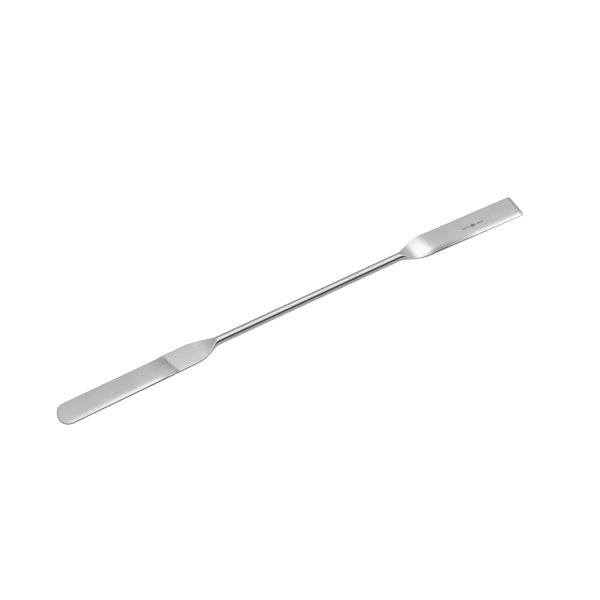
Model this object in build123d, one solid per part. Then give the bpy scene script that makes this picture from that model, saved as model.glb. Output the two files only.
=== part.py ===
from build123d import *
import math
import os

# Double-ended flat spatula: one bar of stainless steel, forged flat at both ends and ground,
# in millimetres. +X runs along the bar from the round tip to the square tip and +Z is up.
# The origin is on the surface that the tool lies on, under the middle of its length.

# ---- Whole tool ----
OVERALL_LENGTH = 180.0
ROD_DIAMETER = 3.0
ROD_CLEARANCE = 0.5  # gap under the rod when the tool lies on its two tips
EDGE_ROUND = 0.15  # polished round on the edges of both blades

# ---- Round-tipped end: the neck and the long blade ----
ROUND_END_LENGTH = 60.0
ROUND_ROOT_WIDTH = 8.6
ROUND_TIP_WIDTH = 9.1
ROUND_ROOT_THICKNESS = 0.9
ROUND_TIP_THICKNESS = 0.5
ROUND_UNDERSIDE_RISE = 0.2  # from the rod's underside up to the blade's, at the root
ROUND_RAMP_LENGTH = 9.0  # pressed ramp from the top of the rod down to the blade's face
ROUND_FLARE_ANGLE = 22.0  # each side of the neck against the tool's axis, in degrees
ROUND_THROAT_RADIUS = 5.0
ROUND_SHOULDER_RADIUS = 16.0
TIP_ARC_RADIUS = 7.0
TIP_ARC_OFFSET = 0.8  # the end arc is ground by hand, with its centre off the tool's axis
TIP_CORNER_RADIUS = 3.5

# ---- Thin-ground face on top of the long blade ----
THIN_FACE_LENGTH = 42.0  # from the tip to the grind line, on the tool's axis
GRIND_DEPTH = 0.1
GRIND_RUN_OUT = 6.5  # length of the wheel's run-out
GRIND_SKEW = 14.0  # angle of the grind line to square across the blade, in degrees

# ---- Square-tipped end: the neck and the short blade ----
SQUARE_END_LENGTH = 49.0
SQUARE_ROOT_WIDTH = 9.25
SQUARE_TIP_WIDTH = 9.5
SQUARE_ROOT_THICKNESS = 0.95
SQUARE_TIP_THICKNESS = 0.5
SQUARE_UNDERSIDE_RISE = 0.65
SQUARE_RAMP_LENGTH = 6.5
SQUARE_FLARE_ANGLE = 24.0
SQUARE_THROAT_RADIUS = 5.0
SQUARE_SHOULDER_RADIUS = 18.0
SQUARE_CORNER_RADIUS = 0.8

# ---- How the solids are drawn ----
NECK_STATIONS = 9  # sections that each neck is lofted through, before the blade's own root
CIRCLE_SHORTFALL = 0.01  # a section's corners stop this far short of a full circle

ROD_RADIUS = ROD_DIAMETER / 2
AXIS_HEIGHT = ROD_CLEARANCE + ROD_RADIUS


def straight(start, end, share):
    """From start to end at an even rate."""
    return start + (end - start) * share


def pressed(start, end, share):
    """From start to end, steep at first and level at the end, as a pressing die leaves it."""
    return end + (start - end) * (1 - share) ** 2


class FlatEnd:
    """One forged end, drawn with its neck's round end at X = 0 and its tip at X = length."""

    def __init__(self, length, root_width, tip_width, root_thickness, tip_thickness,
                 underside_rise, ramp_length, flare_angle, throat_radius, shoulder_radius):
        self.length = length
        self.root_half_width = root_width / 2
        self.tip_half_width = tip_width / 2
        self.tip_thickness = tip_thickness
        self.root_underside = ROD_CLEARANCE + underside_rise
        self.root_top = self.root_underside + root_thickness
        self.ramp_length = ramp_length
        self.throat_radius = throat_radius
        self.shoulder_radius = shoulder_radius
        # The two arcs of a low flare meet before they reach the flare's full angle.
        flare_rise = self.root_half_width - ROD_RADIUS
        steepest = math.acos(max(0.0, 1 - flare_rise / (throat_radius + shoulder_radius)))
        self.flare = min(math.radians(flare_angle), steepest)
        self.throat_rise = throat_radius * (1 - math.cos(self.flare))
        shoulder_rise = shoulder_radius * (1 - math.cos(self.flare))
        slope_rise = flare_rise - self.throat_rise - shoulder_rise
        self.throat_end = throat_radius * math.sin(self.flare)
        self.shoulder_start = self.throat_end + slope_rise / math.tan(self.flare)
        self.flare_length = self.shoulder_start + shoulder_radius * math.sin(self.flare)
        self.neck_length = max(self.flare_length, ramp_length)

    def half_width(self, x):
        """Half the neck's width: rod side, throat arc, straight flare, then shoulder arc."""
        if x >= self.flare_length:
            return self.root_half_width
        if x >= self.shoulder_start:
            run = self.flare_length - x
            fall = self.shoulder_radius - math.sqrt(self.shoulder_radius**2 - run**2)
            return self.root_half_width - fall
        if x >= self.throat_end:
            return ROD_RADIUS + self.throat_rise + (x - self.throat_end) * math.tan(self.flare)
        return ROD_RADIUS + self.throat_radius - math.sqrt(self.throat_radius**2 - x**2)

    def section(self, x):
        """The neck's section at x: a circle at the rod, a flat bar with rounded edges at the blade."""
        pressed_share = min(x / self.ramp_length, 1.0)
        underside = pressed(ROD_CLEARANCE, self.root_underside, pressed_share)
        top = pressed(ROD_CLEARANCE + ROD_DIAMETER, self.root_top, pressed_share)
        height = top - underside
        corner = straight(height / 2 - CIRCLE_SHORTFALL, EDGE_ROUND, x / self.neck_length)
        middle = Plane(origin=(x, 0, underside + height / 2), x_dir=(0, 1, 0), z_dir=(1, 0, 0))
        return middle * RectangleRounded(2 * self.half_width(x), height, corner)

    def plan(self):
        """The blade seen from above, from its root to a plain square tip."""
        return make_face(Polyline(
            (self.neck_length, -self.root_half_width),
            (self.length, -self.tip_half_width),
            (self.length, self.tip_half_width),
            (self.neck_length, self.root_half_width),
            close=True,
        ))

    def blade(self, plan):
        """The flat part: its plan between a flat underside, which dips to Z = 0, and a flat top."""
        side = Plane.XZ * Polyline(
            (self.neck_length, self.root_underside),
            (self.length, 0),
            (self.length, self.tip_thickness),
            (self.neck_length, self.root_top),
            close=True,
        )
        slab = extrude(make_face(side), amount=2 * self.tip_half_width + ROD_DIAMETER, both=True)
        plate = slab & extrude(plan, amount=2 * self.root_top, both=True)
        outline_edges = plate.edges().filter_by(Axis.Z, reverse=True)
        rim = outline_edges.sort_by(Axis.X)[2:]  # all but the two across the root
        return fillet(rim, EDGE_ROUND)

    def solid(self, plan):
        """Neck and blade in one piece. The neck's last section is the blade's own root face."""
        blade = self.blade(plan)
        root_face = blade.faces().sort_by(Axis.X)[0]
        stations = [self.neck_length * step / NECK_STATIONS for step in range(NECK_STATIONS)]
        neck = loft([self.section(x) for x in stations] + [root_face])
        return neck + blade


def round_tip_plan(end):
    """A shallow end arc that runs into both long edges through smaller corner arcs."""
    arc_centre = end.length - TIP_ARC_RADIUS
    arc = Pos(arc_centre, TIP_ARC_OFFSET) * Circle(TIP_ARC_RADIUS)
    up_to_arc = Pos(arc_centre / 2, 0) * Rectangle(arc_centre, 4 * end.tip_half_width)
    plan = end.plan() & (arc + up_to_arc)
    corners = plan.vertices().sort_by(Axis.X)[-2:]
    return fillet(corners, TIP_CORNER_RADIUS)


def square_tip_plan(end):
    """A straight end with both corners slightly rounded."""
    plan = end.plan()
    corners = plan.vertices().sort_by(Axis.X)[-2:]
    return fillet(corners, SQUARE_CORNER_RADIUS)


def thin_face_cut(end):
    """What grinding takes off the long blade's top: a run-out, then an even depth to the tip."""
    grind_line = end.length - THIN_FACE_LENGTH
    fall = (end.root_top - end.tip_thickness) / (end.length - end.neck_length)
    height = end.root_top - fall * (grind_line - end.neck_length)
    reach = THIN_FACE_LENGTH + 2 * end.tip_half_width
    profile = Plane.XZ * Polyline(
        (0, 0),
        (GRIND_RUN_OUT, -GRIND_DEPTH),
        (reach, -GRIND_DEPTH),
        (reach, ROD_DIAMETER),
        (0, ROD_DIAMETER),
        close=True,
    )
    cut = extrude(make_face(profile), amount=reach, both=True)
    along_top = Rot(0, math.degrees(math.atan(fall)), 0)
    return Pos(grind_line, 0, height) * along_top * Rot(0, 0, GRIND_SKEW) * cut


def round_tip_blade():
    """The long blade and its neck, turned so that its tip is the tool's -X end."""
    end = FlatEnd(
        ROUND_END_LENGTH, ROUND_ROOT_WIDTH, ROUND_TIP_WIDTH,
        ROUND_ROOT_THICKNESS, ROUND_TIP_THICKNESS + GRIND_DEPTH,
        ROUND_UNDERSIDE_RISE, ROUND_RAMP_LENGTH, ROUND_FLARE_ANGLE,
        ROUND_THROAT_RADIUS, ROUND_SHOULDER_RADIUS,
    )
    ground = end.solid(round_tip_plan(end)) - thin_face_cut(end)
    return Pos(ROUND_END_LENGTH - OVERALL_LENGTH / 2, 0, 0) * Rot(0, 0, 180) * ground


def square_tip_blade():
    """The short blade and its neck, with its tip at the tool's +X end."""
    end = FlatEnd(
        SQUARE_END_LENGTH, SQUARE_ROOT_WIDTH, SQUARE_TIP_WIDTH,
        SQUARE_ROOT_THICKNESS, SQUARE_TIP_THICKNESS,
        SQUARE_UNDERSIDE_RISE, SQUARE_RAMP_LENGTH, SQUARE_FLARE_ANGLE,
        SQUARE_THROAT_RADIUS, SQUARE_SHOULDER_RADIUS,
    )
    return Pos(OVERALL_LENGTH / 2 - SQUARE_END_LENGTH, 0, 0) * end.solid(square_tip_plan(end))


def handle_rod():
    """The round bar between the two necks, as drawn from the mill."""
    rod_length = OVERALL_LENGTH - ROUND_END_LENGTH - SQUARE_END_LENGTH
    bar = Cylinder(ROD_RADIUS, rod_length, align=(Align.CENTER, Align.CENTER, Align.MIN))
    start = ROUND_END_LENGTH - OVERALL_LENGTH / 2
    return Pos(start, 0, AXIS_HEIGHT) * Rot(0, 90, 0) * bar


os.makedirs("parts", exist_ok=True)
export_step(round_tip_blade(), "parts/round_tip_blade.step")
export_step(handle_rod(), "parts/handle_rod.step")
export_step(square_tip_blade(), "parts/square_tip_blade.step")
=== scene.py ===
import math

import bpy
import numpy as np
from mathutils import Matrix, Vector


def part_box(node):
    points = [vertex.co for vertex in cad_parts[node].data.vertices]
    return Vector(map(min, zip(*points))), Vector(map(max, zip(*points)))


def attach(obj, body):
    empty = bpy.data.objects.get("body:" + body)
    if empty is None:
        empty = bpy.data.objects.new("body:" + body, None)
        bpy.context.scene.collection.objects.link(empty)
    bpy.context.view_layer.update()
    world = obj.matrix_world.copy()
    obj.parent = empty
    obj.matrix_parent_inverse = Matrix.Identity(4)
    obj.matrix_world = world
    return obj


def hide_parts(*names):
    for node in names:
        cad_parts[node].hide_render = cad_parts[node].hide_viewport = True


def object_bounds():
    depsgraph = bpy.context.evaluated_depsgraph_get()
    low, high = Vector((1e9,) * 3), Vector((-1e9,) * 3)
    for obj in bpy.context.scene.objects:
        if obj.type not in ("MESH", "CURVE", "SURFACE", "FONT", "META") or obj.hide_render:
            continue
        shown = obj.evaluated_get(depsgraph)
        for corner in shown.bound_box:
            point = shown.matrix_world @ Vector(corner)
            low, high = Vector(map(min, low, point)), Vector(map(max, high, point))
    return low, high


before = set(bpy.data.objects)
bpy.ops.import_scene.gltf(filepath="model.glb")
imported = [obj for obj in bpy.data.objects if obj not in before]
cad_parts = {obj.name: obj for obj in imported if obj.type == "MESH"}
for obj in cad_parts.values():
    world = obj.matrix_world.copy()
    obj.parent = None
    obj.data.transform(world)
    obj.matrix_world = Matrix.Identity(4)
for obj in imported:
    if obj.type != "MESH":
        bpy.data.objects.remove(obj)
cad_low, cad_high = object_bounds()

# A double-ended flat spatula. It is one bar of stainless steel: a round rod in the middle,
# with each end pressed flat, ground and polished into a blade. Lengths are in millimetres
# and heights are above the surface that the tool lies on.


# ---------------------------------------------------------------------------
# The handle rod. Plain round stainless bar, as drawn at the mill and buffed along its
# length until it is nearly a mirror. It carries on into both necks without a joint.
# ---------------------------------------------------------------------------
MM = 0.001
rod_low, rod_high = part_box("handle_rod")
ROD_START = rod_low.x / MM
ROD_LENGTH = (rod_high.x - rod_low.x) / MM
ROD_RADIUS = (rod_high.z - rod_low.z) / 2 / MM
AXIS_HEIGHT = (rod_high.z + rod_low.z) / 2 / MM
ROD_STATIONS = 72
CAP_MARGIN = 0.03  # a last thin row beside each cap keeps the shading straight up to it
FLANK_START = math.radians(50)  # where a section's face ends and its flank's ribs begin
ROUND_SHARE = 0.99  # a flank's arc takes up this much of the rod's half height
FACE_COLUMNS = 56  # quads across the top and the underside
FLANK_ROWS = 8  # quads round the upper half of a flank, and as many round the lower


def across():
    """Places from -1 to 1 over the width, closer together towards both edges."""
    even = np.linspace(-1, 1, FACE_COLUMNS + 1)
    return 0.5 * even + 0.5 * np.sin(even * math.pi / 2)


def flank_height(gap, reach, rise):
    """Height on a quarter ellipse, as wide as reach and as high as rise, at gap inside its foot."""
    return rise * np.sqrt(1 - (1 - np.clip(gap / reach, 0, 1)) ** 2)


def flank_gaps(reach):
    """Gaps from the outline of the ribs' points, from the face's edge out to the outline."""
    turn = np.linspace(FLANK_START, math.pi / 2, FLANK_ROWS + 1)[1:]
    return np.asarray(reach)[..., None] * (1 - np.sin(turn))


def skin(name, top, foot, left, tip, right):
    """A closed mesh: a grid of top points, a grid of foot points and the ribs that join them.

    left and right are the ribs beside the two long edges, from the root on. tip holds those
    across the far end, or is None where the bar carries on and a flat cap closes the piece.
    """
    stations, columns = top.shape[:2]
    rim = [(i, 0) for i in range(stations)]
    rib_rows = [left]
    if tip is not None:
        rim += [(stations - 1, j) for j in range(1, columns - 1)]
        rib_rows.append(tip[1:-1])
    rim += [(i, columns - 1) for i in range(stations - 1, -1, -1)]
    rib_rows.append(right[::-1])
    rib_points = np.concatenate(rib_rows)
    depth = rib_points.shape[1]
    points = np.concatenate([part.reshape(-1, 3) for part in (top, foot, rib_points)])
    size = stations * columns

    def whole_rib(place):
        """Point numbers of one rib, from the top's rim down to the foot's."""
        i, j = rim[place]
        start = 2 * size + place * depth
        return [i * columns + j, *range(start, start + depth), size + i * columns + j]

    faces = []
    for i in range(stations - 1):
        for j in range(columns - 1):
            low, high = i * columns + j, (i + 1) * columns + j
            faces.append((low, high, high + 1, low + 1))
            faces.append((size + low, size + low + 1, size + high + 1, size + high))
    for place in range(len(rim) - 1):
        if tip is None and place == stations - 1:
            continue
        here, there = whole_rib(place), whole_rib(place + 1)
        for k in range(depth + 1):
            faces.append((here[k], here[k + 1], there[k + 1], there[k]))
    smooth_count = len(faces)
    root_ring = list(range(columns)) + whole_rib(len(rim) - 1)[1:-1]
    root_ring += [size + j for j in range(columns - 1, -1, -1)] + whole_rib(0)[-2:0:-1]
    faces.append(root_ring)
    if tip is None:
        last = (stations - 1) * columns
        far_ring = [last + j for j in range(columns)] + whole_rib(stations)[1:-1]
        far_ring += [size + last + j for j in range(columns - 1, -1, -1)]
        far_ring += whole_rib(stations - 1)[-2:0:-1]
        faces.append(far_ring[::-1])
    data = bpy.data.meshes.new(name)
    data.from_pydata((points * MM).tolist(), [], faces)
    smooth = [index < smooth_count for index in range(len(faces))]
    data.polygons.foreach_set("use_smooth", smooth)
    data.update()
    caps = [polygon for polygon in data.polygons if not polygon.use_smooth]
    cap_edges = {key for polygon in caps for key in polygon.edge_keys}
    for edge in data.edges:
        edge.use_edge_sharp = edge.key in cap_edges
    piece = bpy.data.objects.new(name, data)
    bpy.context.scene.collection.objects.link(piece)
    return piece


def grid_points(x, y, z):
    """A grid of points from three arrays that may each be a single row, column or number."""
    return np.stack(np.broadcast_arrays(x, y, z), axis=-1)


rod_x = np.linspace(0, ROD_LENGTH, ROD_STATIONS + 1)
rod_x = np.insert(rod_x, [1, ROD_STATIONS], [CAP_MARGIN, ROD_LENGTH - CAP_MARGIN])
rod_x = ROD_START + rod_x[:, None]
rod_wall = ROD_RADIUS * (1 - ROUND_SHARE)


def rod_height(gap):
    """Height of the rod's skin over its axis, at gap inside its outline seen from above."""
    return rod_wall + flank_height(gap, ROD_RADIUS, ROD_RADIUS * ROUND_SHARE)


rod_y = across()[None, :] * ROD_RADIUS * math.sin(FLANK_START)
rod_rise = rod_height(ROD_RADIUS - np.abs(rod_y))
rod_gaps = flank_gaps(ROD_RADIUS)
rod_rib_rise = np.concatenate([rod_height(rod_gaps), -rod_height(rod_gaps)[::-1]])
rod_rib_y = np.concatenate([rod_gaps, rod_gaps[::-1]]) - ROD_RADIUS
handle_rod = skin(
    "handle_rod_polished",
    grid_points(rod_x, rod_y, AXIS_HEIGHT + rod_rise),
    grid_points(rod_x, rod_y, AXIS_HEIGHT - rod_rise),
    grid_points(rod_x, rod_rib_y, AXIS_HEIGHT + rod_rib_rise),
    None,
    grid_points(rod_x, -rod_rib_y, AXIS_HEIGHT + rod_rib_rise),
)


def node_group(name, inputs, outputs):
    """An empty shader group with named float or vector sockets, and its two end nodes."""
    group = bpy.data.node_groups.new(name, "ShaderNodeTree")
    for label, kind, default in inputs:
        socket = group.interface.new_socket(label, in_out="INPUT", socket_type=kind)
        socket.default_value = default
    for label in outputs:
        group.interface.new_socket(label, in_out="OUTPUT", socket_type="NodeSocketFloat")
    start = group.nodes.new("NodeGroupInput")
    end = group.nodes.new("NodeGroupOutput")
    return group, start, end


def feed(tree, value, socket):
    """Links another socket to an input, or sets the input to a plain value."""
    if isinstance(value, bpy.types.NodeSocket):
        tree.links.new(value, socket)
    else:
        socket.default_value = value


def math_node(tree, operation, first, second=None, third=None, clamp=False):
    """A Math node whose inputs are sockets or plain numbers; gives its output socket."""
    node = tree.nodes.new("ShaderNodeMath")
    node.operation = operation
    node.use_clamp = clamp
    for value, socket in zip((first, second, third), node.inputs):
        if value is not None:
            feed(tree, value, socket)
    return node.outputs[0]


MIX_SOCKETS = {"FLOAT": (2, 3, 0), "VECTOR": (4, 5, 1), "RGBA": (6, 7, 2)}


def blend(tree, kind, factor, first, second):
    """A Mix node between two sockets or plain values; gives its output socket."""
    node = tree.nodes.new("ShaderNodeMix")
    node.data_type = kind
    first_input, second_input, result = MIX_SOCKETS[kind]
    tree.links.new(factor, node.inputs["Factor"])
    feed(tree, first, node.inputs[first_input])
    feed(tree, second, node.inputs[second_input])
    return node.outputs[result]


def fade(tree, value, low, high):
    """0 up to the low value and 1 from the high value on; the values may be swapped."""
    node = tree.nodes.new("ShaderNodeMapRange")
    node.interpolation_type = "SMOOTHSTEP"
    node.inputs["From Min"].default_value = low
    node.inputs["From Max"].default_value = high
    tree.links.new(value, node.inputs["Value"])
    return node.outputs["Result"]


def noise_node(tree, vector, scale, detail, roughness=0.5):
    """A Noise Texture node over a vector socket; gives its value."""
    node = tree.nodes.new("ShaderNodeTexNoise")
    node.inputs["Scale"].default_value = scale
    node.inputs["Detail"].default_value = detail
    node.inputs["Roughness"].default_value = roughness
    tree.links.new(vector, node.inputs["Vector"])
    return node.outputs["Fac"]


def build_polish_lines():
    """Fine lines that buffing leaves along the bar: a height, and where it left them duller."""
    group, start, end = node_group(
        "polish lines",
        [("Line Width", "NodeSocketFloat", 0.1), ("Line Length", "NodeSocketFloat", 12.0)],
        ["Lines", "Dullness"],
    )
    place = group.nodes.new("ShaderNodeTexCoord").outputs["Object"]
    scale = group.nodes.new("ShaderNodeCombineXYZ")
    along = math_node(group, "DIVIDE", 1 / MM, start.outputs["Line Length"])
    cross = math_node(group, "DIVIDE", 1 / MM, start.outputs["Line Width"])
    group.links.new(along, scale.inputs["X"])
    group.links.new(cross, scale.inputs["Y"])
    group.links.new(cross, scale.inputs["Z"])
    stretched = group.nodes.new("ShaderNodeVectorMath")
    stretched.operation = "MULTIPLY"
    group.links.new(place, stretched.inputs[0])
    group.links.new(scale.outputs[0], stretched.inputs[1])
    lines = noise_node(group, stretched.outputs[0], 1.0, 3.0, 0.65)
    patches = noise_node(group, place, 160.0, 2.0)
    dull = math_node(group, "MULTIPLY", lines, patches)
    group.links.new(lines, end.inputs["Lines"])
    group.links.new(dull, end.inputs["Dullness"])
    return group


def build_handling_marks():
    """What use leaves on polished steel: soft smudges, and a few hair-fine crossing scratches."""
    group, start, end = node_group(
        "handling marks",
        [("Smudge Size", "NodeSocketFloat", 6.0), ("Scratch Share", "NodeSocketFloat", 0.02)],
        ["Smudges", "Scratches"],
    )
    place = group.nodes.new("ShaderNodeTexCoord").outputs["Object"]
    smudge_scale = math_node(group, "DIVIDE", 1 / MM, start.outputs["Smudge Size"])
    smudge = group.nodes.new("ShaderNodeTexNoise")
    smudge.inputs["Detail"].default_value = 2.0
    smudge.inputs["Distortion"].default_value = 0.6
    group.links.new(place, smudge.inputs["Vector"])
    group.links.new(smudge_scale, smudge.inputs["Scale"])
    group.links.new(fade(group, smudge.outputs["Fac"], 0.42, 0.75), end.inputs["Smudges"])
    scratches = None
    for angle, stretch in ((0.35, 0.04), (-0.6, 0.06)):
        turned = group.nodes.new("ShaderNodeMapping")
        turned.inputs["Rotation"].default_value = (0, 0, angle)
        turned.inputs["Scale"].default_value = (stretch / MM, 2.2 / MM, 2.2 / MM)
        group.links.new(place, turned.inputs["Vector"])
        field = noise_node(group, turned.outputs[0], 1.0, 1.0)
        middle = math_node(group, "SUBTRACT", field, 0.5)
        thin = math_node(group, "COMPARE", middle, 0.0, start.outputs["Scratch Share"])
        scratches = thin if scratches is None else math_node(group, "MAXIMUM", scratches, thin)
    patchy = noise_node(group, place, 90.0, 1.0)
    kept = math_node(group, "GREATER_THAN", patchy, 0.56)
    group.links.new(math_node(group, "MULTIPLY", scratches, kept), end.inputs["Scratches"])
    return group


polish_lines = build_polish_lines()
handling_marks = build_handling_marks()


def place_group(tree, group, **values):
    """One group in a material, with its own values for the named inputs."""
    node = tree.nodes.new("ShaderNodeGroup")
    node.node_tree = group
    for label, value in values.items():
        node.inputs[label.replace("_", " ")].default_value = value
    return node


SMUDGE_SIZE = 7.0
SMUDGE_DULLING = 0.035
SMUDGE_TONE = 0.9  # smudges take this share of the steel's brightness
SCRATCH_SHARE = 0.006
SCRATCH_DULLING = 0.05


def steel_grey(light):
    """Stainless steel's faintly cool grey."""
    return light, light, light + 0.005


def buffed_finish(tree, colour, line_width, line_length, line_height, base_roughness, dulling):
    """Colour, roughness and normal sockets of bare stainless steel with buffing lines."""
    lines = place_group(tree, polish_lines, Line_Width=line_width, Line_Length=line_length)
    marks = place_group(
        tree, handling_marks, Smudge_Size=SMUDGE_SIZE, Scratch_Share=SCRATCH_SHARE)
    smudges, scratches = marks.outputs["Smudges"], marks.outputs["Scratches"]
    dull = math_node(tree, "MULTIPLY", lines.outputs["Dullness"], dulling)
    smudged = math_node(tree, "MULTIPLY_ADD", smudges, SMUDGE_DULLING, dull)
    scratched = math_node(tree, "MULTIPLY_ADD", scratches, SCRATCH_DULLING, smudged)
    roughness = math_node(tree, "ADD", scratched, base_roughness)
    bump = tree.nodes.new("ShaderNodeBump")
    bump.inputs["Strength"].default_value = 1.0
    bump.inputs["Distance"].default_value = line_height * MM
    tree.links.new(lines.outputs["Lines"], bump.inputs["Height"])
    smudge_colour = [SMUDGE_TONE * part for part in colour]
    tone = blend(tree, "RGBA", smudges, (*colour, 1), (*smudge_colour, 1))
    return tone, roughness, bump.outputs["Normal"]


FINISH_SOCKETS = ("Base Color", "Roughness", "Normal")


def steel(name, **finish):
    """A material of bare stainless steel in one finish; gives the material and its shader."""
    material = bpy.data.materials.new(name)
    material.use_nodes = True
    tree = material.node_tree
    shader = tree.nodes["Principled BSDF"]
    shader.inputs["Metallic"].default_value = 1.0
    for label, socket in zip(FINISH_SOCKETS, buffed_finish(tree, **finish)):
        tree.links.new(socket, shader.inputs[label])
    return material, shader


ROD_FINISH = {
    "colour": steel_grey(0.42), "line_width": 0.12, "line_length": 25.0,
    "line_height": 0.0006, "base_roughness": 0.07, "dulling": 0.08,
}
rod_steel, _ = steel("buffed rod steel", **ROD_FINISH)
handle_rod.data.materials.append(rod_steel)
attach(handle_rod, "root")
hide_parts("handle_rod")


# ---------------------------------------------------------------------------
# The round-tipped blade. The rod's end pressed flat between dies, which leaves a ramp
# from the rod's crest down to the blade. The blade is ground thinner from a slanting
# line on, its tip is rounded by hand, and all of it is polished along its length.
# ---------------------------------------------------------------------------
NECK_STATIONS = 64
BLADE_STATION_LENGTH = 0.33
TIP_STATIONS = 26
OUTLINE_POINTS = 3000
RAMP_LEAD = 1.2  # over about this length the pressed ramp sets in
CREASE_LENGTH = 3.0  # over this length the ramp's edges soften
CREASE_ROUND = 0.22
CHAMFER_HEIGHT = 0.25
CHAMFER_SLOPE = 1.6
CROWN = 0.0022  # drop of a blade's face for each square millimetre off its middle
ROLL_WIDTH = 2.2  # band beside a near edge that is polished down
FAR_EDGE = (0.28, 0.22)  # reach and rise of the round on the long edge away from the front
TIP_EDGE = (0.25, 0.2)  # the same at the tip
TIP_EDGE_FADE = 2.0
NECK_DELAY = 1.2  # above 1, a neck keeps the rod's round section for longer
CREASE_LIMIT = 0.8  # the most that a crease's round takes of half the thickness


def ease(share):
    """From 0 to 1 with a level start and a level end."""
    share = np.clip(share, 0, 1)
    return share * share * (3 - 2 * share)


def mix(start, end, share):
    """From start to end at an even rate."""
    return start + (end - start) * share


def soft_min(first, second, reach):
    """The lower of two heights, rounded where they cross."""
    reach = np.maximum(reach, 1e-6)
    share = np.clip(0.5 + 0.5 * (second - first) / reach, 0, 1)
    return mix(second, first, share) - reach * share * (1 - share)


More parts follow.
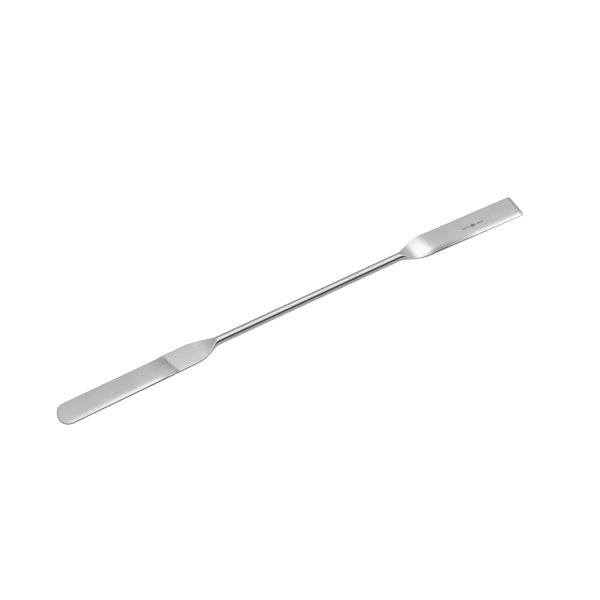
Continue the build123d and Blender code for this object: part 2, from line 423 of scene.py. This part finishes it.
class BladeEnd:
    """Neck and blade, drawn with the neck's round end at x = 0 and the tip at x = length."""

    def __init__(self, length, root_width, tip_width, root_thickness, tip_thickness,
                 underside_rise, ramp_length, flare_angle, throat_radius, shoulder_radius,
                 near_side, near_flank, near_flank_length, near_edge, tip_length):
        self.length = length
        self.root_half_width = root_width / 2
        self.tip_half_width = tip_width / 2
        self.tip_thickness = tip_thickness
        self.root_underside = AXIS_HEIGHT - ROD_RADIUS + underside_rise
        self.root_top = self.root_underside + root_thickness
        self.ramp_length = ramp_length
        self.throat_radius = throat_radius
        self.shoulder_radius = shoulder_radius
        self.near_side = near_side
        self.near_flank = near_flank
        self.near_flank_length = near_flank_length
        self.near_edge = near_edge
        self.tip_start = length - tip_length
        self.flare = math.radians(flare_angle)
        rise = self.root_half_width - ROD_RADIUS
        self.throat_rise = throat_radius * (1 - math.cos(self.flare))
        shoulder_rise = shoulder_radius * (1 - math.cos(self.flare))
        self.throat_end = throat_radius * math.sin(self.flare)
        slope_length = (rise - self.throat_rise - shoulder_rise) / math.tan(self.flare)
        self.shoulder_start = self.throat_end + slope_length
        self.flare_length = self.shoulder_start + shoulder_radius * math.sin(self.flare)
        self.neck_length = max(self.flare_length, ramp_length)

    def half_width(self, x):
        """Throat arc, straight flare, shoulder arc, then the blade's long edge."""
        throat = ROD_RADIUS + self.throat_radius - np.sqrt(
            self.throat_radius**2 - np.minimum(x, self.throat_end) ** 2)
        flare = ROD_RADIUS + self.throat_rise + (x - self.throat_end) * math.tan(self.flare)
        run = np.clip(self.flare_length - x, 0, self.flare_length - self.shoulder_start)
        shoulder = self.root_half_width - self.shoulder_radius + np.sqrt(
            self.shoulder_radius**2 - run**2)
        blade_share = (x - self.flare_length) / (self.length - self.flare_length)
        blade = mix(self.root_half_width, self.tip_half_width, blade_share)
        places = [x < self.throat_end, x < self.shoulder_start, x < self.flare_length]
        return np.select(places, [throat, flare, shoulder], blade)

    def blade_share(self, x):
        """0 up to the end of the neck, then evenly up to 1 at the tip."""
        return np.clip((x - self.neck_length) / (self.length - self.neck_length), 0, 1)

    def bend(self, x, y):
        """How far the whole plate bends or twists off its straight line."""
        return 0.0 * x * y

    def ramp_left(self, x):
        """Share of the rod's height left on the pressed ramp, which sets in and ends level."""
        end = self.ramp_length**2 / (self.ramp_length + RAMP_LEAD)
        return (1 - np.clip(x**2 / (x + RAMP_LEAD) / end, 0, 1)) ** 2

    def top_line(self, x):
        """Height of the top along the middle: the pressed ramp, then the blade's taper."""
        ramp = (AXIS_HEIGHT + ROD_RADIUS - self.root_top) * self.ramp_left(x)
        return mix(self.root_top, self.tip_thickness, self.blade_share(x)) + ramp

    def foot_line(self, x):
        """Height of the underside: level under the neck, then a dip down to the tip."""
        ramp = (AXIS_HEIGHT - ROD_RADIUS - self.root_underside) * self.ramp_left(x)
        return mix(self.root_underside, 0.0, self.blade_share(x)) + ramp

    def neck_share(self, x):
        """How far the section has gone from the rod's round to the blade's flat."""
        return ease(x / self.neck_length) ** NECK_DELAY

    def flank(self, x, y):
        """Reach and rise of a flank's arc: the rod's own round, dying away to the edge round."""
        near = y * self.near_side > 0
        round_left = 1 - ease((x - self.neck_length) / self.near_flank_length)
        tip = ease((x - self.tip_start) / TIP_EDGE_FADE)
        share = self.neck_share(x)
        sizes = []
        for index, start in ((0, ROD_RADIUS), (1, ROD_RADIUS * ROUND_SHARE)):
            size = mix(self.near_edge[index], self.near_flank[index], round_left)
            size = np.where(near, size, FAR_EDGE[index])
            sizes.append(mix(start, mix(size, TIP_EDGE[index], tip), share))
        return sizes

    def roll(self, x, inside, near):
        """How far the band beside a long edge is polished down, at `inside` from that edge."""
        return 0.0 * x * inside

    def relief(self, x, y):
        """Height that hand work adds to or takes off the top face."""
        return 0.0 * x

    def chamfer_share(self, x, near):
        """Where the edge of a blade's top is filed to a chamfer: 1 there and 0 elsewhere."""
        raise NotImplementedError

    def heights(self, x, y, gap):
        """Heights of the top and the underside, at gap inside the outline."""
        top, foot = self.top_line(x), self.foot_line(x)
        middle, half = (top + foot) / 2, (top - foot) / 2
        crease = CREASE_ROUND * ease(x / CREASE_LENGTH)
        crease = np.minimum(crease, CREASE_LIMIT * half)
        reach, rise = self.flank(x, y)
        blank = np.maximum(half + crease, mix(ROD_RADIUS, half + crease, self.neck_share(x)))
        rise = np.minimum(rise, blank)
        blank_height = blank - rise + flank_height(gap, reach, rise)
        inside = np.maximum(self.half_width(x) - np.abs(y), 0)
        near = y * self.near_side > 0
        rolled = self.roll(x, inside, near)
        crown = CROWN * y**2 * ease(x / self.neck_length)
        face = half + self.relief(x, y) - rolled - crown
        lifted_clear = 1 - self.chamfer_share(x, near)
        chamfer = face - CHAMFER_HEIGHT + CHAMFER_SLOPE * gap + lifted_clear
        upper = soft_min(np.minimum(blank_height, chamfer), face, crease)
        lower = soft_min(blank_height, half, crease)
        bend = self.bend(x, y)
        return middle + bend + upper, middle + bend - lower

    def tip_arcs(self):
        """Arcs of the tip, from the -y edge to the +y edge: (centre x, centre y, radius, angles)."""
        raise NotImplementedError

    def outline(self):
        """The blade's outline from the middle of its length round the tip: points and normals."""
        runs = []
        for centre_x, centre_y, radius, start, end in self.tip_arcs():
            angle = np.linspace(start, end, OUTLINE_POINTS)
            runs.append((centre_x + radius * np.cos(angle), centre_y + radius * np.sin(angle), angle))
        x, y, angle = (np.concatenate(part) for part in zip(*runs))
        x = np.concatenate([[self.tip_start], x, [self.tip_start]])
        y = np.concatenate([[-self.tip_half_width], y, [self.tip_half_width]])
        angle = np.concatenate([[-math.pi / 2], angle, [math.pi / 2]])
        y = y * self.half_width(x) / self.tip_half_width
        return x, y, angle

    def edge_run(self, from_angle, to_angle, shares):
        """Outline points between two directions of its normal, at these shares of the way."""
        x, y, angle = self.outline()
        travel = np.concatenate([[0], np.cumsum(np.hypot(np.diff(x), np.diff(y)))])
        first = 0 if from_angle <= -math.pi / 2 else travel[np.searchsorted(angle, from_angle)]
        last = travel[np.searchsorted(angle, to_angle, side="right") - 1]
        wanted = mix(first, last, shares)
        return [np.interp(wanted, travel, values) for values in (x, y, angle)]

    def face_edge(self, x, y, angle):
        """The edge of the face's grid, inside the outline by the ribs' own reach."""
        reach = self.flank(x, y)[0] * (1 - math.sin(FLANK_START))
        return np.stack([x - reach * np.cos(angle), y - reach * np.sin(angle)], axis=-1)

    def plan(self):
        """The face's grid seen from above, and the outline beside each of its three edges."""
        shares = (across() + 1) / 2
        blade_count = round((self.tip_start - self.neck_length) / BLADE_STATION_LENGTH)
        stations = np.concatenate([
            [0, CAP_MARGIN],
            np.linspace(0, self.neck_length, NECK_STATIONS + 1)[1:-1],
            np.linspace(self.neck_length, self.tip_start, blade_count + 1),
        ])
        half = self.half_width(stations)
        straight = np.full(len(stations), math.pi / 2)
        rows = np.linspace(0, 1, TIP_STATIONS + 1)
        low_tip = self.edge_run(-math.pi / 2, -math.pi / 4, rows)
        high_tip = [part[::-1] for part in self.edge_run(math.pi / 4, math.pi / 2, rows)]
        end = self.edge_run(-math.pi / 4, math.pi / 4, shares)
        low = [np.concatenate(pair) for pair in zip((stations, -half, -straight),
                                                    (part[1:] for part in low_tip))]
        high = [np.concatenate(pair) for pair in zip((stations, half, straight),
                                                     (part[1:] for part in high_tip))]
        low_edge, high_edge, end_edge = (self.face_edge(*edge) for edge in (low, high, end))
        grid = mix(low_edge[:, None], high_edge[:, None], shares[None, :, None])
        # The tip's part of the grid is stretched between its side edges and its end edge.
        first = len(stations) - 1
        u, v = rows[:, None, None], shares[None, :, None]
        ends = mix(grid[first][None], end_edge[None], u)
        corners = mix(mix(low_edge[first], low_edge[-1], u), mix(high_edge[first], high_edge[-1], u), v)
        grid[first:] += ends - corners
        return grid[..., 0], grid[..., 1], low, end, high

    def edge_gap(self, x, y):
        """Distance of each face point from the edge of the grid."""
        edge = np.stack([
            np.concatenate([x[:, 0], x[-1], x[::-1, -1]]),
            np.concatenate([y[:, 0], y[-1], y[::-1, -1]]),
        ], axis=-1)
        finer = np.linspace(0, len(edge) - 1, 4 * len(edge) - 3)
        edge = [np.interp(finer, np.arange(len(edge)), edge[:, axis]) for axis in (0, 1)]
        return np.hypot(x[..., None] - edge[0], y[..., None] - edge[1]).min(axis=-1)

    def ribs(self, x, y, angle):
        """Points from the edge of the top face round the flank to the edge of the underside."""
        gap = flank_gaps(self.flank(x, y)[0])
        rib_x = x[:, None] - gap * np.cos(angle)[:, None]
        rib_y = y[:, None] - gap * np.sin(angle)[:, None]
        top, foot = self.heights(rib_x, rib_y, gap)
        upper, lower = grid_points(rib_x, rib_y, top), grid_points(rib_x, rib_y, foot)
        return np.concatenate([upper, lower[:, ::-1]], axis=1)

    def build(self, name, root_x, direction):
        """The piece as a mesh, with its root at root_x and its tip towards +x or -x."""
        x, y, low, end, high = self.plan()
        reach = self.flank(x, y)[0] * (1 - math.sin(FLANK_START))
        top, foot = self.heights(x, y, self.edge_gap(x, y) + reach)
        parts = [
            grid_points(x, y, top),
            grid_points(x, y, foot),
            self.ribs(*low),
            self.ribs(*end),
            self.ribs(*high),
        ]
        turn = np.array((direction, direction, 1.0))
        shift = np.array((root_x, 0.0, 0.0))
        return skin(name, *(part * turn + shift for part in parts))


def separate(tree, vector):
    """The X, Y and Z sockets of a vector."""
    parts = tree.nodes.new("ShaderNodeSeparateXYZ")
    tree.links.new(vector, parts.inputs[0])
    return parts.outputs


def object_point(tree):
    """The place of a point on the piece, in metres."""
    return tree.nodes.new("ShaderNodeTexCoord").outputs["Object"]


def object_place(tree, origin_x, origin_y, direction):
    """Millimetres along and across a blade from its root or from a mark, as two sockets."""
    parts = separate(tree, object_point(tree))
    sockets = []
    for label, origin in (("X", origin_x), ("Y", origin_y)):
        scaled = math_node(tree, "MULTIPLY", parts[label], direction / MM)
        sockets.append(math_node(tree, "SUBTRACT", scaled, direction * origin))
    return sockets


def both(tree, first, second):
    """1 where both masks are 1."""
    return math_node(tree, "MULTIPLY", first, second)


def shade(tree, shader, mask, colour, roughness):
    """Gives a shader this colour and roughness where the mask is 1."""
    coats = (("Base Color", "RGBA", (*colour, 1)), ("Roughness", "FLOAT", roughness))
    for label, kind, value in coats:
        before = shader.inputs[label].links[0].from_socket
        tree.links.new(blend(tree, kind, mask, before, value), shader.inputs[label])


def lift(tree):
    """How far the surface looks up: 1 on a level top, 0 on an upright wall, -1 below."""
    return separate(tree, tree.nodes.new("ShaderNodeNewGeometry").outputs["Normal"])["Z"]


def on_top(tree, mask):
    """The mask on the top face alone, without the underside."""
    return both(tree, mask, fade(tree, lift(tree), 0.1, 0.3))


FACE_LIFT = 0.97  # a surface that looks up this much or more is a face, and gets none of the painted edge shade
WALL_LIFT = 0.86
EDGE_SHADE_FROM = 3.0
EDGE_SHADE_FULLY = 10.0


def shade_edge_walls(tree, shader, along):
    """Painted shade on steep edge walls past the neck, for the dark they mirror; also rougher."""
    steep = fade(tree, math_node(tree, "ABSOLUTE", lift(tree)), FACE_LIFT, WALL_LIFT)
    past_neck = fade(tree, along, EDGE_SHADE_FROM, EDGE_SHADE_FULLY)
    shade(tree, shader, both(tree, steep, past_neck), steel_grey(0.19), roughness=0.3)


def edge_band(tree, end, along, aside, side, width):
    """1 at the long edge on one side of a blade, down to 0 at this width inside it."""
    taper = (end.tip_half_width - end.root_half_width) / (end.length - end.flare_length)
    at_root = end.root_half_width - taper * end.flare_length
    half = math_node(tree, "MULTIPLY_ADD", along, taper, at_root)
    gap = math_node(tree, "MULTIPLY_ADD", aside, -side, half)
    return fade(tree, gap, width, 0.2 * width)


def carry_on_rod(tree, shader, along, reach):
    """The neck starts with the rod's own finish, which fades into the blade's."""
    rod_share = fade(tree, along, reach, 0.5)
    rod_sockets = buffed_finish(tree, **ROD_FINISH)
    for label, kind, socket in zip(FINISH_SOCKETS, ("RGBA", "FLOAT", "VECTOR"), rod_sockets):
        before = shader.inputs[label].links[0].from_socket
        tree.links.new(blend(tree, kind, rod_share, before, socket), shader.inputs[label])


round_low, round_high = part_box("round_tip_blade")
THIN_FACE_LENGTH = 42.0
GRIND_DEPTH = 0.1
GRIND_RUN_OUT = 6.5
GRIND_SKEW = math.radians(14)


class RoundTipBlade(BladeEnd):
    """The long blade: its tip is rounded by hand and its outer part is ground thinner."""

    TIP_ARC_RADIUS = 7.0
    TIP_ARC_OFFSET = 0.8
    TIP_CORNER_RADIUS = 3.5
    CHAMFER_START = 16.0
    CHAMFER_FADE = 6.0
    ROLL_DEPTH = 0.03
    ROLL_EXTRA = 0.06
    ROLL_MIDDLE = 38.0
    ROLL_LEVEL = 12.0  # the extra is level for this far each way from its middle
    ROLL_FADE = 10.0
    ROLL_START = 9.0  # past the end of the neck
    ROLL_RISE = 6.0

    def tip_arcs(self):
        """A shallow end arc between two smaller corner arcs that run into the long edges."""
        centre_x = self.length - self.TIP_ARC_RADIUS
        between = self.TIP_ARC_RADIUS - self.TIP_CORNER_RADIUS
        arcs = []
        for side in (-1, 1):
            corner_y = side * (self.tip_half_width - self.TIP_CORNER_RADIUS)
            across_gap = corner_y - self.TIP_ARC_OFFSET
            corner_x = centre_x + math.sqrt(between**2 - across_gap**2)
            meeting = math.atan2(across_gap, corner_x - centre_x)
            arcs.append((corner_x, corner_y, self.TIP_CORNER_RADIUS, meeting))
        (low_x, low_y, radius, low_angle), (high_x, high_y, _, high_angle) = arcs
        return [
            (low_x, low_y, radius, -math.pi / 2, low_angle),
            (centre_x, self.TIP_ARC_OFFSET, self.TIP_ARC_RADIUS, low_angle, high_angle),
            (high_x, high_y, radius, high_angle, math.pi / 2),
        ]

    def chamfer_share(self, x, near):
        """All round the thin face, from where its grind has run out."""
        return ease((x - self.CHAMFER_START) / self.CHAMFER_FADE)

    def roll(self, x, inside, near):
        """The near edge is polished down a little, and more so halfway along the thin face."""
        off_middle = np.abs(x - self.ROLL_MIDDLE) - self.ROLL_LEVEL
        depth = self.ROLL_DEPTH + self.ROLL_EXTRA * (1 - ease(off_middle / self.ROLL_FADE))
        depth = depth * ease((x - self.neck_length - self.ROLL_START) / self.ROLL_RISE)
        return np.where(near, depth, 0.0) * np.clip(1 - inside / ROLL_WIDTH, 0, 1) ** 2

    def relief(self, x, y):
        """The thin face: a short hollow run-out from the grind line, then an even depth."""
        past = x - (self.length - THIN_FACE_LENGTH) + y * math.tan(GRIND_SKEW)
        share = np.clip(past * math.cos(GRIND_SKEW) / GRIND_RUN_OUT, 0, 1)
        return -GRIND_DEPTH * (1 - (1 - share) ** 2)


round_end = RoundTipBlade(
    length=(round_high.x - round_low.x) / MM,
    root_width=8.6, tip_width=9.1, root_thickness=0.9, tip_thickness=0.5 + GRIND_DEPTH,
    underside_rise=0.2, ramp_length=9.0, flare_angle=22.0, throat_radius=5.0,
    shoulder_radius=16.0, near_side=1, near_flank=(0.45, 0.45), near_flank_length=8.0,
    near_edge=(0.34, 0.3), tip_length=7.0,
)
round_blade = round_end.build("round_tip_blade_polished", round_high.x / MM, -1)
BLADE_FINISH = {
    "line_width": 0.16, "line_length": 14.0, "line_height": 0.0012,
    "base_roughness": 0.15, "dulling": 0.12,
}
GRIND_LINE_WANDER = 1.6
CLOUD_CONTRAST = 3.4
CLOUD_LEVEL = -0.8
FAR_SHADE_WIDTH = 0.7
blade_steel, blade_shader = steel("ground blade steel", colour=steel_grey(0.53), **BLADE_FINISH)
blade_tree = blade_steel.node_tree
along, aside = object_place(blade_tree, round_high.x / MM, 0.0, -1)
past_line = math_node(blade_tree, "MULTIPLY_ADD", aside, math.tan(GRIND_SKEW), along)
past_line = math_node(blade_tree, "SUBTRACT", past_line, round_end.length - THIN_FACE_LENGTH)
blade_point = object_point(blade_tree)
wander = noise_node(blade_tree, blade_point, scale=500.0, detail=2.0)
uneven_line = math_node(blade_tree, "MULTIPLY_ADD", wander, GRIND_LINE_WANDER, past_line)
unground = fade(blade_tree, uneven_line, 1.25, 0.45)
shade(blade_tree, blade_shader, on_top(blade_tree, unground), steel_grey(0.61), roughness=0.17)
# The wheel leaves a dull, cloudy grey where it runs out.
ground = math_node(blade_tree, "SUBTRACT", 1.0, unground)
run_out = math_node(blade_tree, "DIVIDE", past_line, -GRIND_RUN_OUT)
run_out = math_node(blade_tree, "ADD", run_out, 1.0, clamp=True)
cloud = noise_node(blade_tree, blade_point, scale=300.0, detail=3.0, roughness=0.6)
cloud = math_node(blade_tree, "MULTIPLY_ADD", cloud, CLOUD_CONTRAST, CLOUD_LEVEL)
cloudy = math_node(blade_tree, "MULTIPLY", run_out, cloud)
cloudy = math_node(blade_tree, "MULTIPLY", cloudy, ground, clamp=True)
shade(blade_tree, blade_shader, on_top(blade_tree, cloudy), steel_grey(0.29), roughness=0.28)
# Painted shade: a darker band along the far edge, for the dark its round mirrors; also a little
# rougher.
far_edge_shade = edge_band(blade_tree, round_end, along, aside, -round_end.near_side, FAR_SHADE_WIDTH)
shade(blade_tree, blade_shader, far_edge_shade, steel_grey(0.43), roughness=0.2)
# Painted shade on the steep edge walls.
shade_edge_walls(blade_tree, blade_shader, along)
carry_on_rod(blade_tree, blade_shader, along, reach=8.0)
round_blade.data.materials.append(blade_steel)
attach(round_blade, "root")
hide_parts("round_tip_blade")


# ---------------------------------------------------------------------------
# The square-tipped blade. Pressed from the rod's other end in the same way, shorter and
# a little thicker at its root, with its end cut straight. A small plain maker's mark is
# etched into its top face.
# ---------------------------------------------------------------------------
square_low, square_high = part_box("square_tip_blade")


class SquareTipBlade(BladeEnd):
    """The short blade: its tip is cut straight and its plate dips where the ramp ends."""

    TIP_CORNER_RADIUS = 0.8
    CHAMFER_START = 4.0
    CHAMFER_RISE = 9.0
    ROLL_DEPTH = 0.1
    ROLL_START = 23.0
    ROLL_RISE = 8.0
    DIP_BOTTOM = 4.8
    DIP_BEFORE = 4.0
    DIP_AFTER = 7.0
    PLATE_DIP = 0.10
    PLATE_TWIST = math.radians(1.3)
    TOP_DIP = 0.16
    TOP_TWIST = math.radians(2.4)
    TWIST_START = 2.5
    TWIST_RISE = 2.5
    TWIST_END = 9.5
    TWIST_FALL = 5.0
    PROUD_HEIGHT = 0.14
    PROUD_INSIDE = 2.7  # off the middle line: where the proud edge starts to rise
    PROUD_BAND = 1.6
    PROUD_CURVE = 1.5
    PROUD_MIDDLE = 16.0
    PROUD_REACH = 8.0

    def tip_arcs(self):
        """A straight end between two slightly rounded corners."""
        centre_x = self.length - self.TIP_CORNER_RADIUS
        corner_y = self.tip_half_width - self.TIP_CORNER_RADIUS
        return [
            (centre_x, -corner_y, self.TIP_CORNER_RADIUS, -math.pi / 2, 0),
            (centre_x, corner_y, self.TIP_CORNER_RADIUS, 0, math.pi / 2),
        ]

    def chamfer_share(self, x, near):
        """On the near edge alone, over the first part of the blade."""
        share = ease((x - self.CHAMFER_START) / self.CHAMFER_RISE)
        share = share * (1 - ease((x - self.PROUD_MIDDLE) / self.PROUD_REACH))
        return np.where(near, share, 0.0)

    def roll(self, x, inside, near):
        """The near edge is polished down over the outer half of the blade."""
        depth = self.ROLL_DEPTH * ease((x - self.ROLL_START) / self.ROLL_RISE)
        return np.where(near, depth, 0.0) * np.clip(1 - inside / ROLL_WIDTH, 0, 1) ** 2

    def dip(self, x, y, depth, twist):
        """A dip where the die's ramp ends, leaning towards the near edge as it rises again."""
        fall = np.where(x < self.DIP_BOTTOM, self.DIP_BEFORE, self.DIP_AFTER)
        share = (x - self.DIP_BOTTOM) / fall
        twist_share = ease((x - self.TWIST_START) / self.TWIST_RISE)
        twist_share = twist_share * (1 - ease((x - self.TWIST_END) / self.TWIST_FALL))
        lean = math.tan(twist) * twist_share
        return -depth * (1 - ease(np.abs(share))) - y * self.near_side * lean

    def bend(self, x, y):
        """Part of the dip goes through the whole plate."""
        return self.dip(x, y, self.PLATE_DIP, self.PLATE_TWIST)

    def relief(self, x, y):
        """The rest of the dip is in the top alone; past it the near edge is left a little proud."""
        aside = np.clip((y * self.near_side - self.PROUD_INSIDE) / self.PROUD_BAND, 0, 1)
        off_middle = np.abs(x - self.PROUD_MIDDLE)
        proud = self.PROUD_HEIGHT * aside**self.PROUD_CURVE
        proud = proud * (1 - ease(off_middle / self.PROUD_REACH))
        return self.dip(x, y, self.TOP_DIP, self.TOP_TWIST) + proud


square_end = SquareTipBlade(
    length=(square_high.x - square_low.x) / MM,
    root_width=9.25, tip_width=9.5, root_thickness=0.95, tip_thickness=0.5,
    underside_rise=0.65, ramp_length=6.5, flare_angle=24.0, throat_radius=5.0,
    shoulder_radius=18.0, near_side=-1, near_flank=(0.55, 0.45), near_flank_length=16.0,
    near_edge=(0.25, 0.2), tip_length=4.0,
)
square_blade = square_end.build("square_tip_blade_polished", square_low.x / MM, 1)
marked_steel, marked_shader = steel("etched blade steel", colour=steel_grey(0.56), **BLADE_FINISH)
marked_tree = marked_steel.node_tree
# The mark: a lozenge between two bars, darker and duller than the face round it.
MARK_CENTRE = (71.2, -0.5)
LOZENGE_HALF_LENGTH = 1.2
LOZENGE_SLOPE = 1.5
BAR_MIDDLE = 2.95
BAR_HALF_LENGTH = 1.3
BAR_HALF_HEIGHT = 0.24
mark_x, mark_y = object_place(marked_tree, *MARK_CENTRE, 1)
far_x = math_node(marked_tree, "ABSOLUTE", mark_x)
far_y = math_node(marked_tree, "ABSOLUTE", mark_y)
slant = math_node(marked_tree, "MULTIPLY_ADD", far_y, LOZENGE_SLOPE, far_x)
lozenge = math_node(marked_tree, "LESS_THAN", slant, LOZENGE_HALF_LENGTH)
bar_length = math_node(marked_tree, "COMPARE", far_x, BAR_MIDDLE, BAR_HALF_LENGTH)
bar_height = math_node(marked_tree, "LESS_THAN", far_y, BAR_HALF_HEIGHT)
bars = both(marked_tree, bar_length, bar_height)
etched = on_top(marked_tree, math_node(marked_tree, "MAXIMUM", lozenge, bars))
shade(marked_tree, marked_shader, etched, steel_grey(0.18), roughness=0.42)
# Painted shade: the cut end, the far edge past the dip and the near edge beside it are painted darker
# than the face, for the dark that their slopes mirror, and made a little rougher.
# Each pair is where a band starts to fade in or out, and where it has done so.
CUT_END_SHADE_FADE = (square_end.length - 1.6, square_end.length - 0.4)
FAR_SHADE_IN = (9.0, 15.0)
NEAR_SHADE_IN = (6.0, 9.5)
NEAR_SHADE_OUT = (26.0, 16.0)
NEAR_SHADE_WIDTH = 1.5
along, aside = object_place(marked_tree, square_low.x / MM, 0.0, 1)
cut_end_shade = fade(marked_tree, along, *CUT_END_SHADE_FADE)
shade(marked_tree, marked_shader, cut_end_shade, steel_grey(0.34), roughness=0.26)
far_side = -square_end.near_side
far_edge_shade = edge_band(marked_tree, square_end, along, aside, far_side, FAR_SHADE_WIDTH)
far_edge_shade = both(marked_tree, far_edge_shade, fade(marked_tree, along, *FAR_SHADE_IN))
shade(marked_tree, marked_shader, far_edge_shade, steel_grey(0.45), roughness=0.2)
near_edge_shade = edge_band(marked_tree, square_end, along, aside, -far_side, NEAR_SHADE_WIDTH)
for fade_places in (NEAR_SHADE_IN, NEAR_SHADE_OUT):
    near_edge_shade = both(marked_tree, near_edge_shade, fade(marked_tree, along, *fade_places))
shade(marked_tree, marked_shader, near_edge_shade, steel_grey(0.33), roughness=0.24)
# Painted shade on the steep edge walls.
shade_edge_walls(marked_tree, marked_shader, along)
carry_on_rod(marked_tree, marked_shader, along, reach=4.5)
square_blade.data.materials.append(marked_steel)
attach(square_blade, "root")
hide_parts("square_tip_blade")


# ---------------------------------------------------------------------------
# The table: a white light table, lit from below, so that the tool throws almost no shadow.
# It lies just under the tool's tips.
# ---------------------------------------------------------------------------
TABLE_HALF_WIDTH = 6.0
TABLE_GAP = 0.02
SEEN_GLOW = 0.9
SEEN_WHITE = 0.3
LIGHTING_GLOW = 0.25
LIGHTING_WHITE = 0.6
table_data = bpy.data.meshes.new("light_table")
table_corners = [
    (x * TABLE_HALF_WIDTH, y * TABLE_HALF_WIDTH, cad_low.z - TABLE_GAP * MM)
    for x, y in ((-1, -1), (1, -1), (1, 1), (-1, 1))
]
table_data.from_pydata(table_corners, [], [(0, 1, 2, 3)])
light_table = bpy.data.objects.new("light_table", table_data)
bpy.context.scene.collection.objects.link(light_table)
table_white = bpy.data.materials.new("white light table")
table_white.use_nodes = True
table_tree = table_white.node_tree
table_out = table_tree.nodes["Material Output"]
seen_table = table_tree.nodes["Principled BSDF"]
lighting_table = table_tree.nodes.new("ShaderNodeBsdfPrincipled")
table_looks = (
    (seen_table, SEEN_GLOW, SEEN_WHITE),
    (lighting_table, LIGHTING_GLOW, LIGHTING_WHITE),
)
for shader, glow, white in table_looks:
    shader.inputs["Base Color"].default_value = (white, white, white, 1)
    shader.inputs["Roughness"].default_value = 1.0
    shader.inputs["Specular IOR Level"].default_value = 0.0
    shader.inputs["Emission Color"].default_value = (1, 1, 1, 1)
    shader.inputs["Emission Strength"].default_value = glow
table_mix = table_tree.nodes.new("ShaderNodeMixShader")
table_path = table_tree.nodes.new("ShaderNodeLightPath")
table_tree.links.new(table_path.outputs["Is Camera Ray"], table_mix.inputs[0])
table_tree.links.new(lighting_table.outputs[0], table_mix.inputs[1])
table_tree.links.new(seen_table.outputs[0], table_mix.inputs[2])
table_tree.links.new(table_mix.outputs[0], table_out.inputs["Surface"])
light_table.data.materials.append(table_white)


# ---------------------------------------------------------------------------
# The studio: a long soft box hangs over the tool, with pale walls behind it and a dark
# gap in front. Both stand to the right, where the tool mirrors them towards the camera, and
# there only the lean of a ray counts. The rest of the studio is evenly pale.
# ---------------------------------------------------------------------------
world = bpy.data.worlds.new("soft studio")
bpy.context.scene.world = world
world.use_nodes = True
sky = world.node_tree
background = sky.nodes["Background"]
direction = separate(sky, sky.nodes.new("ShaderNodeTexCoord").outputs["Generated"])
lean = math_node(sky, "ARCTAN2", direction["Y"], direction["Z"])
STUDIO_BRIGHTEST = 2.1
# Angle from straight up, leaning away from the front, in degrees; and the light there.
STUDIO_LIGHT = [
    (-180, 0.75), (-96, 0.75), (-90, 0.30), (-74, 0.10), (-52, 0.08), (-42, 0.4), (-30, 1.6),
    (-20, 2.0), (8, 2.05), (26, 2.0), (30.5, 1.0), (36, 0.84), (44, 0.78), (62, 0.80), (74, 0.5),
    (88, 0.35), (180, 0.7),
]
studio_ramp = sky.nodes.new("ShaderNodeValToRGB")
ramp_place = math_node(sky, "MULTIPLY_ADD", lean, 1 / (2 * math.pi), 0.5)
sky.links.new(ramp_place, studio_ramp.inputs["Fac"])
stops = studio_ramp.color_ramp.elements
stops.remove(stops[1])
for index, (angle, light) in enumerate(STUDIO_LIGHT):
    stop = stops[0] if index == 0 else stops.new(angle / 360 + 0.5)
    stop.position = angle / 360 + 0.5
    grey = light / STUDIO_BRIGHTEST
    stop.color = (grey, grey, grey, 1)
PALE_WALL = 0.9 / STUDIO_BRIGHTEST
SOFT_BOX_SIDE = 0.3  # the sideways part of the direction to the middle of the soft box
SOFT_BOX_ENDS = (0.4, 0.55)  # off that middle: the soft box starts to fade, and has gone
off_middle = math_node(sky, "ABSOLUTE", math_node(sky, "SUBTRACT", direction["X"], SOFT_BOX_SIDE))
pale_share = fade(sky, off_middle, *SOFT_BOX_ENDS)
pale_colour = (PALE_WALL, PALE_WALL, PALE_WALL, 1)
studio_light = blend(sky, "RGBA", pale_share, studio_ramp.outputs["Color"], pale_colour)
sky.links.new(studio_light, background.inputs["Color"])
background.inputs["Strength"].default_value = STUDIO_BRIGHTEST
backdrop = sky.nodes.new("ShaderNodeBackground")
backdrop.inputs["Color"].default_value = (1, 1, 1, 1)
backdrop.inputs["Strength"].default_value = 1.0
sky_path = sky.nodes.new("ShaderNodeLightPath")
sky_mix = sky.nodes.new("ShaderNodeMixShader")
sky.links.new(sky_path.outputs["Is Camera Ray"], sky_mix.inputs[0])
sky.links.new(background.outputs[0], sky_mix.inputs[1])
sky.links.new(backdrop.outputs[0], sky_mix.inputs[2])
sky.links.new(sky_mix.outputs[0], sky.nodes["World Output"].inputs["Surface"])


# ---------------------------------------------------------------------------
# The camera stands well back, in front and to the left, and looks down at the table.
# ---------------------------------------------------------------------------
VIEW_AZIMUTH = math.radians(-30.4)
VIEW_ELEVATION = math.radians(50.73)
VIEW_ROLL = math.radians(-0.38)
VIEW_DISTANCE = 0.7795
FIELD_OF_VIEW = math.radians(14.7929)
SIGHT_POINT = Vector((-1.86 * MM, 0, AXIS_HEIGHT * MM))
SIGHT_RIGHT = 3.10 * MM
SIGHT_UP = 2.26 * MM
back = Vector((
    math.sin(VIEW_AZIMUTH) * math.cos(VIEW_ELEVATION),
    -math.cos(VIEW_AZIMUTH) * math.cos(VIEW_ELEVATION),
    math.sin(VIEW_ELEVATION),
))
level_right = Vector((math.cos(VIEW_AZIMUTH), math.sin(VIEW_AZIMUTH), 0))
up = back.cross(level_right)
target = SIGHT_POINT + level_right * SIGHT_RIGHT + up * SIGHT_UP
camera_data = bpy.data.cameras.new("camera")
camera_data.angle = FIELD_OF_VIEW
camera_data.clip_start = 0.01
camera_data.clip_end = 50
camera = bpy.data.objects.new("camera", camera_data)
turned = Matrix((level_right, up, back)).transposed() @ Matrix.Rotation(VIEW_ROLL, 3, "Z")
camera.matrix_world = Matrix.Translation(target + back * VIEW_DISTANCE) @ turned.to_4x4()
bpy.context.scene.collection.objects.link(camera)
bpy.context.scene.camera = camera
bpy.context.scene.view_settings.view_transform = "Standard"

bpy.context.view_layer.update()
